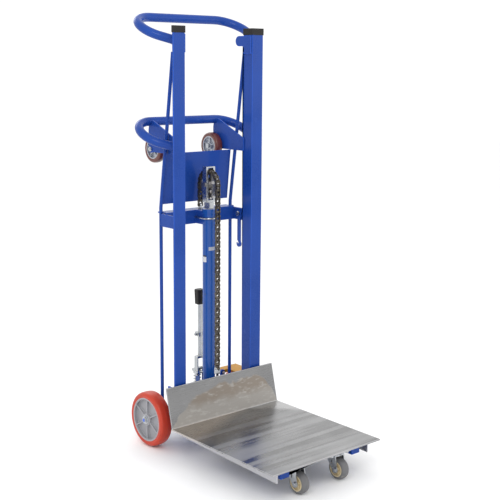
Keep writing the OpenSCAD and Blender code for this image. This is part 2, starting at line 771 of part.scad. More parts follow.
// ---- Swivel casters ----
caster_r = caster_d / 2;
caster_y = swivel_y - trail;
fork_top = plate_z - 5 - gap;
fork_t = 3;
fork_in = caster_w / 2 + 2.5;
caster_pin_r = 4;
module caster_fork(side) {
  placed() color(ZINC) translate([side * caster_x, 0, 0]) {
    difference() {
      union() {
        translate([0, swivel_y, fork_top - 4]) cylinder(h = 4, r = 26);
        slab([-fork_in - fork_t, swivel_y - 24, fork_top - 4],
             [fork_in + fork_t, swivel_y + 22, fork_top]);
        both() along_x(fork_in, fork_in + fork_t) union() {
          polygon([
            [swivel_y - 24, fork_top], [swivel_y + 22, fork_top], [swivel_y + 18, fork_top - 14],
            [caster_y + 12, caster_r - 4], [caster_y - 12, caster_r - 4]
          ]);
          translate([caster_y, caster_r]) circle(13);
        }
      }
      translate([0, caster_y, caster_r]) bar_x(caster_pin_r, 100);
      both() along_x(fork_in - 1, fork_in + fork_t + 1) union() {
        translate([caster_y + 15, caster_r + 28]) circle(2.5);
        translate([caster_y + 15, caster_r + 20]) circle(2.5);
        translate([caster_y + 12.5, caster_r + 20]) square([5, 8]);
      }
    }
    translate([0, caster_y, caster_r]) {
      bar_x(caster_pin_r, 2 * (fork_in + fork_t) + 8);
      both() translate([fork_in + fork_t, 0, 0]) rotate([0, 90, 0])
        cylinder(h = 5, r = 8, $fn = 6);
    }
  }
}
module caster_fork_left() { caster_fork(-1); }
module caster_fork_right() { caster_fork(1); }
caster_rim_r = caster_r - 11.1;
module caster_tyre(side) {
  placed() color([0.42, 0.42, 0.43]) translate([side * caster_x, caster_y, caster_r])
    tyre(caster_r, caster_rim_r, caster_w, 9);
}
module caster_hub(side) {
  placed() color([0.80, 0.74, 0.58]) translate([side * caster_x, caster_y, caster_r])
    hub(caster_rim_r, 4, caster_w, 16, 11, 5, caster_pin_r);
}
module caster_tyre_left() { caster_tyre(-1); }
module caster_tyre_right() { caster_tyre(1); }
module caster_hub_left() { caster_hub(-1); }
module caster_hub_right() { caster_hub(1); }

// ---- Brake pedal and latch hook ----
brake_pin_r = 5;
brake_t = 5;
module brake_pedal() {
  end = wheel_x + wheel_w / 2 + 2;
  side = rod_x + rod_r + 4;
  placed() color([0.90, 0.66, 0.16]) difference() {
    union() {
      slab([brake_x + 12, brake_y - 6, brake_z + 1], [end, brake_y + 30, brake_z + 1 + brake_t]);
      slab([side, brake_y - 70, brake_z + 1], [end, brake_y + 30, brake_z + 1 + brake_t]);
      slab([side, brake_y - 70, brake_z - 5], [end, brake_y - 65, brake_z + 1 + brake_t]);
      slab([brake_x - 9, brake_y - 6, brake_z - 8],
           [wheel_x - wheel_w / 2 - 5, brake_y - 6 + brake_t, brake_z + 1 + brake_t]);
      translate([brake_x, brake_y - 3.5, brake_z]) bar_y(10, brake_t);
    }
    translate([brake_x, brake_y, brake_z]) bar_y(brake_pin_r, 80);
  }
}
hook_t = 6;
hook_l = 128;
module latch_hook() {
  x = post_inner + post_wall - gap - hook_t;
  placed() color(BLUE) along_x(x, x + hook_t) difference() {
    union() {
      translate([hook_y, hook_z]) circle(10);
      translate([hook_y - 8, hook_z - hook_l + 12]) square([16, hook_l - 12]);
      translate([hook_y, hook_z - hook_l + 12]) circle(12);
    }
    translate([hook_y, hook_z]) circle(hook_r);
    translate([hook_y + 6, hook_z - hook_l + 16]) circle(5);
    translate([hook_y + 5, hook_z - hook_l + 16]) square([10, 9]);
  }
}

left_post();
right_post();
post_caps();
crossbar();
side_straps();
truss_rods();
back_panel();
upper_handle();
lower_handle();
dock_brackets();
frame_bolts();
base_frame();
rear_axle();
axle_nuts();
caster_plates();
cylinder_barrel();
cylinder_gland();
pump_block();
cylinder_clamp();
chain_anchor();
release_valve();
pump_plunger();
return_spring();
pedal_arm();
pedal_grip();
brake_pedal();
latch_hook();
platform();
platform_skirts();
carriage_frame();
chain_eye();
upper_roller_left();
upper_roller_right();
lower_roller_left();
lower_roller_right();
ram_rod();
ram_nut();
yoke();
sprocket_pin();
sprocket();
chain_wrap();
chain_rear();
chain_run_1();
chain_run_2();
chain_run_3();
chain_run_4();
wheel_tyre_left();
wheel_hub_left();
wheel_tyre_right();
wheel_hub_right();
caster_fork_left();
caster_fork_right();
caster_tyre_left();
caster_hub_left();
caster_tyre_right();
caster_hub_right();
dock_tyre_left();
dock_hub_left();
dock_tyre_right();
dock_hub_right();
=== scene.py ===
"""The looks of the walkie stacker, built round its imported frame. Metres, Z up, the platform towards -Y."""

import json
import math

import bmesh
import bpy
from mathutils import Matrix, Vector
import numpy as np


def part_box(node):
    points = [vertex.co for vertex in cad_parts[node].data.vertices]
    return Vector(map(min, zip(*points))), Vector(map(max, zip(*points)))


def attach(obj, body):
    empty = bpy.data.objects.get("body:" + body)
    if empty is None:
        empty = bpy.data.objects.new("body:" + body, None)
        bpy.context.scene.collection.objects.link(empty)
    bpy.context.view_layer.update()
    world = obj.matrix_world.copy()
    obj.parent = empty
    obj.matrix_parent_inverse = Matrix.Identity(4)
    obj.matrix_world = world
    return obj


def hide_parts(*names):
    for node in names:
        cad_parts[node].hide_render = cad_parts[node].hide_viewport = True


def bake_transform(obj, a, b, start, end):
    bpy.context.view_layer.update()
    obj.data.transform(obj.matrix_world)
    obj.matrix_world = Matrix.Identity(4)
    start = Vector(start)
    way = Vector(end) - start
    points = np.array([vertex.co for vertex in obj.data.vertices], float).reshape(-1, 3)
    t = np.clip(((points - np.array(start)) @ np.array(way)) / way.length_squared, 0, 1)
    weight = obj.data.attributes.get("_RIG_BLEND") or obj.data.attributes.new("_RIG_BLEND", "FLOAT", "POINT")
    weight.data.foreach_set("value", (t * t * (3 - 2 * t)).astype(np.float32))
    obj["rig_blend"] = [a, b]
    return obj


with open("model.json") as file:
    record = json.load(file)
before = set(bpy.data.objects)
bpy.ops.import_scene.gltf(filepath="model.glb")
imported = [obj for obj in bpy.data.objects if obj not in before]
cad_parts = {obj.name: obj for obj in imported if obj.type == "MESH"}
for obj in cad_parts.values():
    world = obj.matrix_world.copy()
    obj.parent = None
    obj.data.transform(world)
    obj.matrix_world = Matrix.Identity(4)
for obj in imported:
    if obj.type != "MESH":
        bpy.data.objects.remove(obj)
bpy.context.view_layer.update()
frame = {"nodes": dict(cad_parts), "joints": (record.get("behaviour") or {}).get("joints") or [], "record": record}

RECORD = frame["record"]
MM = 0.001
SLOT_OF = {part["node"]: part["material_slot"] for part in RECORD["subparts"]}
BODY_OF = {node: body for body, nodes in RECORD["behaviour"]["bodies"].items() for node in nodes}


# ---- Shader helpers ----

def shader_node(tree, kind, inputs=None, **settings):
    """A new node; an input that is a socket is linked, any other value is set on the socket."""
    made = tree.nodes.new("ShaderNode" + kind)
    for key, value in settings.items():
        setattr(made, key, value)
    for key, value in (inputs or {}).items():
        if isinstance(value, bpy.types.NodeSocket):
            tree.links.new(value, made.inputs[key])
        else:
            made.inputs[key].default_value = value
    return made


def rgba(colour):
    """The colour with full opacity."""
    return (*colour, 1.0)


def noise(tree, place, scale, detail):
    """Noise of about 0.3 to 0.7; scale is in spots per metre."""
    inputs = {"Vector": place, "Scale": scale, "Detail": detail}
    return shader_node(tree, "TexNoise", inputs).outputs["Fac"]


def stretched(tree, place, factors):
    """place multiplied axis by axis, so that a noise on it runs long where the factor is small."""
    made = shader_node(tree, "VectorMath", {0: place, 1: factors}, operation="MULTIPLY")
    return made.outputs[0]


def remap(tree, value, low, high, new_low=0.0, new_high=1.0):
    """value's range low to high, carried to new_low to new_high and held there outside it."""
    inputs = {"Value": value, "From Min": low, "From Max": high}
    inputs.update({"To Min": new_low, "To Max": new_high})
    return shader_node(tree, "MapRange", inputs).outputs["Result"]


def math_node(tree, operation, a, b=0.0):
    """One sum on two numbers or sockets."""
    return shader_node(tree, "Math", {0: a, 1: b}, operation=operation).outputs[0]


def blend_colours(tree, share, a, b):
    """Mixes two colours, or a colour socket and a colour."""
    made = shader_node(tree, "Mix", {0: share}, data_type="RGBA")
    for index, value in ((6, a), (7, b)):
        if isinstance(value, bpy.types.NodeSocket):
            tree.links.new(value, made.inputs[index])
        else:
            made.inputs[index].default_value = rgba(value)
    return made.outputs[2]


def scaled(colour, factor):
    """The colour made lighter or darker, no channel over 1."""
    return tuple(min(1.0, c * factor) for c in colour)


def new_material(name, metallic, coat=0.0, **constants):
    """A material, its node tree, its shader and its place in metres; constants are shader inputs."""
    material = bpy.data.materials.new(name)
    material.use_nodes = True
    tree = material.node_tree
    shader = tree.nodes["Principled BSDF"]
    shader.inputs["Metallic"].default_value = metallic
    shader.inputs["Coat Weight"].default_value = coat
    for key, value in constants.items():
        shader.inputs[key.replace("_", " ")].default_value = value
    place = shader_node(tree, "TexCoord").outputs["Object"]
    return material, tree, shader, place


def add_bump(tree, shader, height, depth):
    """Relief from a height socket; depth in metres."""
    bump = shader_node(tree, "Bump", {"Height": height, "Strength": 1.0, "Distance": depth})
    tree.links.new(bump.outputs["Normal"], shader.inputs["Normal"])


def finish_material(name, colour, metallic=0.0, roughness=0.35, spread=0.08, tint=0.08, coat=0.0,
                    grain=400.0, stretch=(1.0, 1.0, 1.0), depth=0.00003, marks=None, **constants):
    """A material with a broad tint, a fine grain in roughness and bump, and optional marks.

    marks is (colour, scale, threshold): spots of wear or dirt where a noise passes the threshold.
    """
    material, tree, shader, place = new_material(name, metallic, coat, **constants)
    broad = noise(tree, place, 9.0, 4.0)
    fine = noise(tree, stretched(tree, place, stretch), grain, 2.0)
    base = blend_colours(tree, remap(tree, broad, 0.3, 0.7), scaled(colour, 1 - tint),
                         scaled(colour, 1 + tint))
    rough = math_node(tree, "ADD", remap(tree, fine, 0.3, 0.7, -spread, spread),
                      remap(tree, broad, 0.3, 0.7, roughness - spread, roughness + spread))
    if marks:
        mark_colour, scale, threshold = marks
        spots = noise(tree, place, scale, 6.0)
        share = remap(tree, spots, threshold, threshold + 0.06, 0.0, 0.8)
        base = blend_colours(tree, share, base, mark_colour)
        rough = math_node(tree, "ADD", rough, math_node(tree, "MULTIPLY", share, 0.2))
    tree.links.new(base, shader.inputs["Base Color"])
    tree.links.new(rough, shader.inputs["Roughness"])
    add_bump(tree, shader, fine, depth)
    return material


# ---- The platform's sheet metal ----

PATCH_PEAK_X = 0.10                # the ground patch is highest here
PATCH_HEIGHT = 0.116
PATCH_HALF_LEFT = 0.350            # its reach to the left and right of the peak
PATCH_HALF_RIGHT = 0.155
LEAN_RUN = 0.04                    # how far the leaning plate's top is behind the bend
WEAR_AHEAD = 0.035                 # the wear on the deck starts this far ahead of the bend


def deck_bands(tree, place, y, bend_y):
    """Lateral bands, -1 to 1, full on the front of the deck and weak near the bend."""
    band_noise = noise(tree, stretched(tree, place, (1.2, 27.0, 0.0)), 1.0, 1.0)
    front = remap(tree, y, bend_y - 0.08, bend_y - 0.24, 0.25, 1.0)
    return math_node(tree, "MULTIPLY", remap(tree, band_noise, 0.42, 0.58, -1.0, 1.0), front)


def sheet_colour(tree, place, bands, grain):
    """Bare metal: clouds, bands and grain as shades of grey."""
    cloud = noise(tree, place, 7.0, 5.0)
    tone = math_node(tree, "ADD", remap(tree, cloud, 0.3, 0.7, 0.40, 0.56),
                     math_node(tree, "MULTIPLY", bands, 0.15))
    tone = math_node(tree, "ADD", tone, remap(tree, grain, 0.3, 0.7, -0.03, 0.03))
    return blend_colours(tree, tone, (0.09, 0.09, 0.09), (0.54, 0.54, 0.545))


def patch_share(tree, x, height, behind, on_plate, ragged):
    """Where the ground patch is: an arch on the leaning plate, with a little of it on the deck."""
    half = remap(tree, x, PATCH_PEAK_X - 0.01, PATCH_PEAK_X + 0.01, PATCH_HALF_LEFT, PATCH_HALF_RIGHT)
    from_peak = math_node(tree, "ABSOLUTE", math_node(tree, "SUBTRACT", x, PATCH_PEAK_X))
    across = math_node(tree, "POWER", math_node(tree, "DIVIDE", from_peak, half), 3.6)
    drop = math_node(tree, "MULTIPLY", across, PATCH_HEIGHT)
    arch = math_node(tree, "SUBTRACT", PATCH_HEIGHT, drop)
    inside = math_node(tree, "ADD", math_node(tree, "SUBTRACT", arch, height), ragged)
    edge = math_node(tree, "ADD", behind, math_node(tree, "MULTIPLY", ragged, 1.6))
    on_deck = remap(tree, edge, 0.0, 0.03, 0.0, 0.6)
    plate_part = math_node(tree, "MULTIPLY", on_plate, remap(tree, inside, -0.002, 0.006))
    deck_part = math_node(tree, "MULTIPLY", on_deck, remap(tree, inside, -0.002, 0.02))
    return math_node(tree, "MAXIMUM", plate_part, deck_part)


def patch_colour(tree, place, height, ragged):
    """Greyer below, browner above, with light swirls."""
    upper = remap(tree, math_node(tree, "ADD", height, ragged), 0.045, 0.075)
    swirl = noise(tree, stretched(tree, place, (22.0, 60.0, 60.0)), 1.6, 6.0)
    brown = blend_colours(tree, upper, (0.36, 0.34, 0.315), (0.285, 0.245, 0.205))
    light = remap(tree, swirl, 0.54, 0.68, 0.0, 0.75)
    return blend_colours(tree, light, brown, (0.46, 0.44, 0.41))


def deck_wear(tree, base, x, height, behind, ragged):
    """The worn corner at the deck's right rear and the brown stain at its left rear."""
    flat = remap(tree, height, 0.002, 0.001)
    corner = math_node(tree, "ADD", math_node(tree, "ADD", x, behind), ragged)
    worn = math_node(tree, "MULTIPLY", remap(tree, corner, 0.13, 0.17, 0.0, 0.8), flat)
    base = blend_colours(tree, worn, base, (0.55, 0.55, 0.55))
    left = math_node(tree, "SUBTRACT", behind, math_node(tree, "MULTIPLY", x, 0.5))
    stain = math_node(tree, "MULTIPLY", remap(tree, left, -0.02, 0.04, 0.0, 0.85), flat)
    return blend_colours(tree, stain, base, (0.58, 0.52, 0.46))


def deck_material(name):
    """Mill-finish sheet: bands on the front of the deck, a ground patch and wear at the back, and painted shade
    that darkens the leaning plate.
    """
    material, tree, shader, place = new_material(name, 1.0)
    axes = shader_node(tree, "SeparateXYZ", {0: place}).outputs
    low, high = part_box("platform")
    deck_z = low.z + 5 * MM                       # just over the deck's top
    bend_y = high.y - LEAN_RUN
    grain = noise(tree, stretched(tree, place, (0.02, 1.0, 1.0)), 900.0, 2.0)
    bands = deck_bands(tree, place, axes["Y"], bend_y)
    base = sheet_colour(tree, place, bands, grain)
    ragged = remap(tree, noise(tree, place, 26.0, 5.0), 0.25, 0.75, -0.012, 0.012)
    height = math_node(tree, "SUBTRACT", axes["Z"], deck_z)
    behind = math_node(tree, "SUBTRACT", axes["Y"], bend_y - WEAR_AHEAD)
    on_plate = remap(tree, height, 0.001, 0.004)
    # painted shade: the leaning plate is painted darker than the deck, as it takes less light
    darker = math_node(tree, "MULTIPLY", on_plate, 0.4)
    base = blend_colours(tree, darker, base, (0.12, 0.12, 0.12))
    patch = patch_share(tree, axes["X"], height, behind, on_plate, ragged)
    brown = patch_colour(tree, place, height, ragged)
    base = blend_colours(tree, math_node(tree, "MULTIPLY", patch, 0.85), base, brown)
    base = deck_wear(tree, base, axes["X"], height, behind, ragged)
    # long light scratches
    scratch = noise(tree, stretched(tree, place, (14.0, 320.0, 320.0)), 1.0, 2.0)
    base = blend_colours(tree, remap(tree, scratch, 0.70, 0.74, 0.0, 0.5), base, (0.6, 0.6, 0.6))
    rough = math_node(tree, "ADD", remap(tree, bands, -1.0, 1.0, 0.20, 0.38),
                      remap(tree, grain, 0.3, 0.7, -0.05, 0.05))
    rough = math_node(tree, "ADD", rough, math_node(tree, "MULTIPLY", patch, 0.25))
    tree.links.new(base, shader.inputs["Base Color"])
    tree.links.new(rough, shader.inputs["Roughness"])
    add_bump(tree, shader, grain, 0.00003)
    return material


# ---- Materials of each slot, with a second, lighter one for rounded edges: a painted highlight ----

BLUE = (0.013, 0.057, 0.300)
BARREL_BLUE = (0.009, 0.072, 0.320)


def label_material(name, colour):
    """Plain printed film without any print."""
    return finish_material(name, colour, roughness=0.45, grain=900.0, depth=0.00001, tint=0.05)


def make_materials():
    """{slot: (main material, lighter edge material that paints a highlight on rounded edges)}"""
    made = {}

    def add(slot, highlight_factor, **values):
        # the edge material is the same finish made lighter: a painted highlight for the bevels
        edge = dict(values, colour=scaled(values["colour"], highlight_factor))
        made[slot] = (finish_material(slot, **values), finish_material(slot + "_painted_highlight", **edge))

    add("blue_paint", 1.7, colour=BLUE, roughness=0.30, spread=0.05, tint=0.07, coat=0.14,
        grain=260.0, depth=0.00004, marks=((0.030, 0.085, 0.36), 34.0, 0.70),
        Specular_IOR_Level=0.12, Coat_Roughness=0.06)
    add("cylinder_paint", 1.3, colour=BARREL_BLUE, roughness=0.24, spread=0.04, tint=0.05, coat=0.4,
        grain=300.0, stretch=(1.0, 1.0, 0.15), depth=0.00002, marks=((0.03, 0.05, 0.10), 60.0, 0.71),
        Specular_IOR_Level=0.25)
    add("black_vinyl", 1.7, colour=(0.013, 0.012, 0.012), roughness=0.42, tint=0.25, grain=500.0,
        depth=0.00006, marks=((0.05, 0.047, 0.04), 90.0, 0.66), Specular_IOR_Level=0.25)
    add("zinc_plate", 1.15, colour=(0.48, 0.50, 0.52), metallic=1.0, roughness=0.26, spread=0.08,
        tint=0.16, grain=700.0, stretch=(0.3, 0.3, 1.0), depth=0.00002,
        marks=((0.34, 0.31, 0.24), 70.0, 0.64))
    add("bare_steel", 1.3, colour=(0.33, 0.32, 0.32), metallic=1.0, roughness=0.33, tint=0.2,
        grain=800.0, stretch=(0.1, 1.0, 1.0), marks=((0.12, 0.08, 0.05), 55.0, 0.60))
    add("chain_steel", 1.6, colour=(0.125, 0.112, 0.095), metallic=0.85, roughness=0.38, tint=0.35,
        grain=900.0, marks=((0.03, 0.026, 0.02), 120.0, 0.52))
    add("aluminium_sheet", 1.2, colour=(0.47, 0.47, 0.49), metallic=1.0, roughness=0.42, tint=0.06,
        grain=900.0, stretch=(0.05, 0.05, 1.0), depth=0.00002)
    add("red_polyurethane", 1.12, colour=(0.50, 0.044, 0.020), roughness=0.36, spread=0.07, tint=0.10,
        coat=0.05, grain=240.0, marks=((0.30, 0.04, 0.025), 42.0, 0.66), Specular_IOR_Level=0.3)
    add("grey_hub", 1.35, colour=(0.30, 0.30, 0.32), roughness=0.45, tint=0.08, grain=420.0,
        marks=((0.20, 0.19, 0.18), 65.0, 0.66))
    add("brown_polyurethane", 1.3, colour=(0.125, 0.026, 0.018), roughness=0.33, tint=0.15, coat=0.3,
        grain=300.0, marks=((0.34, 0.16, 0.12), 50.0, 0.68))
    add("dock_hub_metal", 1.3, colour=(0.42, 0.44, 0.48), metallic=0.8, roughness=0.36, tint=0.12,
        grain=500.0, marks=((0.18, 0.18, 0.20), 80.0, 0.66))
    add("grey_rubber", 1.25, colour=(0.135, 0.135, 0.140), roughness=0.55, tint=0.10, grain=380.0,
        depth=0.00005, marks=((0.24, 0.23, 0.21), 70.0, 0.66))
    add("cream_hub", 1.15, colour=(0.60, 0.50, 0.31), roughness=0.42, tint=0.08, grain=420.0,
        marks=((0.34, 0.27, 0.16), 85.0, 0.66))
    add("yellow_paint", 1.15, colour=(0.50, 0.235, 0.012), roughness=0.34, tint=0.08,
        grain=280.0, marks=((0.26, 0.13, 0.02), 45.0, 0.68), Specular_IOR_Level=0.2)
    return made


MATERIALS = make_materials()
DECK = deck_material("deck_metal")


# ---- Mesh helpers ----

def add_piece(name, bm, slot, body, replaces=(), materials=None, smooth=35.0, bevel=0.0, blended=None):
    """A mesh object from bm that rides on a body, or blends between two, in one slot's finish."""
    bmesh.ops.recalc_face_normals(bm, faces=bm.faces)
    mesh = bpy.data.meshes.new(name)
    bm.to_mesh(mesh)
    bm.free()
    for material in materials or MATERIALS[slot]:
        mesh.materials.append(material)
    piece = bpy.data.objects.new(name, mesh)
    bpy.context.scene.collection.objects.link(piece)
    mesh.shade_smooth()
    mesh.set_sharp_from_angle(angle=math.radians(smooth))
    if bevel:
        rounding = piece.modifiers.new("rounding", "BEVEL")
        rounding.width = bevel
        rounding.segments = 2
        rounding.limit_method = "ANGLE"
        rounding.angle_limit = math.radians(smooth)
        rounding.use_clamp_overlap = False
        rounding.harden_normals = True
        # bevel faces take the second, lighter material: a painted highlight
        rounding.material = 1
    if blended:
        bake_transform(piece, *blended)
    else:
        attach(piece, body)
    if replaces:
        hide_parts(*replaces)
    return piece


def clean_copy(node):
    """The CAD node's faces, welded, with flat areas as single faces."""
    bm = bmesh.new()
    bm.from_mesh(frame["nodes"][node].data)
    bmesh.ops.remove_doubles(bm, verts=bm.verts, dist=2e-6)
    bmesh.ops.dissolve_limit(bm, angle_limit=math.radians(0.5), verts=bm.verts, edges=bm.edges)
    for layer in list(bm.loops.layers.float_vector) + list(bm.loops.layers.uv):
        if layer.name == "custom_normal":
            bm.loops.layers.float_vector.remove(layer)
    return bm


def detailed(node, bevel, materials=None):
    """A copy of a CAD node with rounded edges, which stands for it."""
    piece = add_piece(node + "_finished", clean_copy(node), SLOT_OF[node], BODY_OF[node],
                      replaces=[node], materials=materials, bevel=bevel)
    normals = piece.data.attributes.get("custom_normal")
    if normals:
        piece.data.attributes.remove(normals)
    return piece


def lathe(bm, profile, centre, steps):
    """A ring of (radius, along X) points turned about the X axis through centre."""
    rings = []
    for step in range(steps):
        turn = 2 * math.pi * step / steps
        rings.append([bm.verts.new((centre[0] + along, centre[1] + radius * math.cos(turn),
                                    centre[2] + radius * math.sin(turn)))
                      for radius, along in profile])
    for step in range(steps):
        here, there = rings[step], rings[(step + 1) % steps]
        for i in range(len(profile)):
            j = (i + 1) % len(profile)
            bm.faces.new((here[i], here[j], there[j], there[i]))


def sweep(bm, points, radius, sides=8, closed=False):
    """A tube along points; radius is a number or a function of the point's index."""
    count = len(points)
    rings = []
    side = Vector((0.31, 0.52, 0.79)).normalized()
    for i, point in enumerate(points):
        before = points[(i - 1) % count] if closed or i else point
        after = points[(i + 1) % count] if closed or i < count - 1 else point
        along = (after - before).normalized()
        side = (side - along * side.dot(along)).normalized()
        other = along.cross(side)
        r = radius(i) if callable(radius) else radius
        rings.append([bm.verts.new(point + (side * math.cos(a) + other * math.sin(a)) * r)
                      for a in (2 * math.pi * k / sides for k in range(sides))])
    for i in range(count if closed else count - 1):
        here, there = rings[i], rings[(i + 1) % count]
        for k in range(sides):
            n = (k + 1) % sides
            bm.faces.new((here[k], here[n], there[n], there[k]))
    if not closed:
        bm.faces.new(rings[0][::-1])
        bm.faces.new(rings[-1])


def extrude_x(bm, outline, x0, x1):
    """A (y, z) outline extruded along X."""
    rings = [[bm.verts.new((x, y, z)) for y, z in outline] for x in (x0, x1)]
    count = len(outline)
    for i in range(count):
        j = (i + 1) % count
        bm.faces.new((rings[0][i], rings[0][j], rings[1][j], rings[1][i]))
    bm.faces.new(rings[0][::-1])
    bm.faces.new(rings[1])


def arc(centre, radius, start, stop, steps):
    """Points on a circle, angles in degrees."""
    return [(centre[0] + radius * math.cos(math.radians(start + (stop - start) * k / steps)),
             centre[1] + radius * math.sin(math.radians(start + (stop - start) * k / steps)))
            for k in range(steps + 1)]


# ---- CAD nodes that keep their shape and get rounded edges, with the rounding in millimetres ----

ROUNDED = {
    "left_post": 1.3, "right_post": 1.3, "post_caps": 1.2, "crossbar": 1.0, "side_straps": 1.0,
    "back_panel": 0.7, "dock_brackets": 0.9, "frame_bolts": 0.5, "base_frame": 1.5,
    "rear_axle": 1.0, "axle_nuts": 0.5, "caster_plates": 0.5, "cylinder_gland": 0.8,
    "pump_block": 1.5, "chain_anchor": 0.6, "release_valve": 0.8, "pump_plunger": 0.6,
    "pedal_arm": 1.0, "brake_pedal": 1.0, "latch_hook": 0.8, "platform_skirts": 0.8,
    "carriage_frame": 1.0, "chain_eye": 0.5, "ram_nut": 0.8, "yoke": 1.2, "sprocket_pin": 0.8,
    "sprocket": 0.4, "wheel_hub_left": 1.0, "wheel_hub_right": 1.0, "dock_hub_left": 0.6,
    "dock_hub_right": 0.6, "caster_fork_left": 0.6, "caster_fork_right": 0.6,
    "caster_hub_left": 0.6, "caster_hub_right": 0.6, "upper_roller_left": 0.6,
    "upper_roller_right": 0.6, "lower_roller_left": 0.6, "lower_roller_right": 0.6,
}
for cad_name, width in ROUNDED.items():
    detailed(cad_name, width * MM)
# the platform's bevels take the lighter aluminium edge material, a painted highlight
detailed("platform", 0.7 * MM, materials=(DECK, MATERIALS["aluminium_sheet"][1]))

# Nodes whose own surface is already right: tubes, rods and the U-bolt
for cad_name in ("truss_rods", "upper_handle", "lower_handle", "cylinder_barrel", "cylinder_clamp",
                 "ram_rod"):
    cad_mesh = frame["nodes"][cad_name].data
    cad_mesh.materials.clear()
    cad_mesh.materials.append(MATERIALS[SLOT_OF[cad_name]][0])


# ---- Tyres ----

def tyre_profile(node, shoulder, crown, lip):
    """The tyre's section as (radius, along X): round shoulders, side lips and a parting line."""
    low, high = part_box(node)
    outer = (high.z - low.z) / 2
    half = (high.x - low.x) / 2
    cad = frame["nodes"][node].data
    middle = (low + high) / 2
    inner = min(math.hypot(v.co.y - middle.y, v.co.z - middle.z) for v in cad.vertices)
    right = [(inner + lip, half - 0.6 * MM), (inner + lip + 1.2 * MM, half)]
    right += arc((outer - shoulder - crown, half - shoulder), shoulder, 90, 12, 9)
    right += [(outer - crown * 0.35, half * 0.42), (outer - 0.1 * MM, 0.9 * MM),
              (outer, 0.45 * MM)]
    left = [(r, -x) for r, x in reversed(right)]
    return [(inner, half - 0.6 * MM)] + right + left + [(inner, -half + 0.6 * MM)], middle


def tyre(node, shoulder, crown, lip):
    """The node's tyre, turned from its section."""
    profile, middle = tyre_profile(node, shoulder, crown, lip)
    bm = bmesh.new()
    lathe(bm, profile, middle, steps=128)
    add_piece(node + "_finished", bm, SLOT_OF[node], BODY_OF[node], replaces=[node], smooth=28.0)


for side_name in ("left", "right"):
    tyre("wheel_tyre_" + side_name, 11 * MM, 1.2 * MM, 2.5 * MM)
    tyre("caster_tyre_" + side_name, 8.5 * MM, 1.5 * MM, 1.0 * MM)
    tyre("dock_tyre_" + side_name, 7 * MM, 1.0 * MM, 1.2 * MM)


# ---- Roller chain ----

PITCH = 15.875 * MM                # size 50 roller chain
PLATE_T = 2.03 * MM
INNER_HALF = 4.75 * MM
OUTER_HALF = INNER_HALF + PLATE_T + 0.1 * MM
ROLLER_R = 5.08 * MM
PIN_R = 2.54 * MM
WRAP_LINKS = 10
NESTED_THINNER = 0.0012            # links in one place get thinner by this, so their faces don't meet
STROKE_PITCHES = round(next(j for j in frame["joints"] if j["name"] == "ram_slide")["range_m"][1] / PITCH)


def link_outline(height):
    """A waisted link plate hanging from the origin, as (y, z)."""
    r = height / 2
    top = arc((0, 0), r, -32, 212, 12)
    bottom = arc((0, -PITCH), r, 148, 392, 12)
    waist = r * 0.74
    return top + [(-waist, -PITCH / 2)] + bottom + [(waist, -PITCH / 2)]


def add_link(bm, is_outer, place, scale=1.0):
    """One link. place moves it from hanging at the origin; scale thins its section slightly."""
    start = len(bm.verts)
    height = (13.0 if is_outer else 14.6) * MM * scale
    near = OUTER_HALF if is_outer else INNER_HALF
    outline = link_outline(height)
    for sign in (-1, 1):
        extrude_x(bm, outline, sign * near, sign * (near + PLATE_T * scale))
    for z in (0, -PITCH):
        if is_outer:
            end = (OUTER_HALF + PLATE_T) * scale + 0.9 * MM
            pin_r = PIN_R * scale
            head = [(0.2 * MM, -end - 0.3 * MM), (pin_r * 0.8, -end), (pin_r, -end + 0.5 * MM)]
            tail = [(r, -x) for r, x in reversed(head)]
            lathe(bm, head + tail, (0, 0, z), steps=12)
        else:
            r = ROLLER_R * scale
            lathe(bm, [(PIN_R, -INNER_HALF), (r, -INNER_HALF + 0.2 * MM), (r, INNER_HALF - 0.2 * MM),
                       (PIN_R, INNER_HALF)], (0, 0, z), steps=16)
    bm.verts.ensure_lookup_table()
    for i in range(start, len(bm.verts)):
        bm.verts[i].co = place @ bm.verts[i].co


def chain_geometry():
    """(front run y, rear run y, sprocket centre z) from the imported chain."""
    front_low, front_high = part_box("chain_run_1")
    rear_low, rear_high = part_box("chain_rear")
    front = (front_low.y + front_high.y) / 2
    rear = (rear_low.y + rear_high.y) / 2
    sprocket_low, sprocket_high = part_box("sprocket")
    return front, rear, (sprocket_low.z + sprocket_high.z) / 2


FRONT_Y, REAR_Y, SHAFT_Z = chain_geometry()
PITCH_R = (REAR_Y - FRONT_Y) / 2
SHAFT_Y = (REAR_Y + FRONT_Y) / 2


def set_weights(piece, weights):
    """Each link keeps its own share of the two bodies' motion."""
    attribute = piece.data.attributes["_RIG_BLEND"]
    attribute.data.foreach_set("value", weights)


def front_chain():
    """The run down to the carriage. Links that reach the sprocket gather on its two top places."""
    count = round((SHAFT_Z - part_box("chain_run_4")[0].z - 7.3 * MM) / PITCH)
    bm = bmesh.new()
    weights = []
    for i in range(count):
        spare = i < STROKE_PITCHES
        share = (i - i % 2) / STROKE_PITCHES if spare else 1.0
        size = 1.0 - NESTED_THINNER * (STROKE_PITCHES - i) / 2 if spare else 1.0
        add_link(bm, i % 2 == 1, Matrix.Translation((0, FRONT_Y, SHAFT_Z - i * PITCH)), size)
        weights += [share] * (len(bm.verts) - len(weights))
    piece = add_piece("chain_front_links", bm, "chain_steel", None, smooth=40.0,
                      replaces=["chain_run_1", "chain_run_2", "chain_run_3", "chain_run_4"],
                      blended=("ram", "carriage", (0, FRONT_Y, SHAFT_Z), (0, FRONT_Y, SHAFT_Z - PITCH)))
    set_weights(piece, weights)


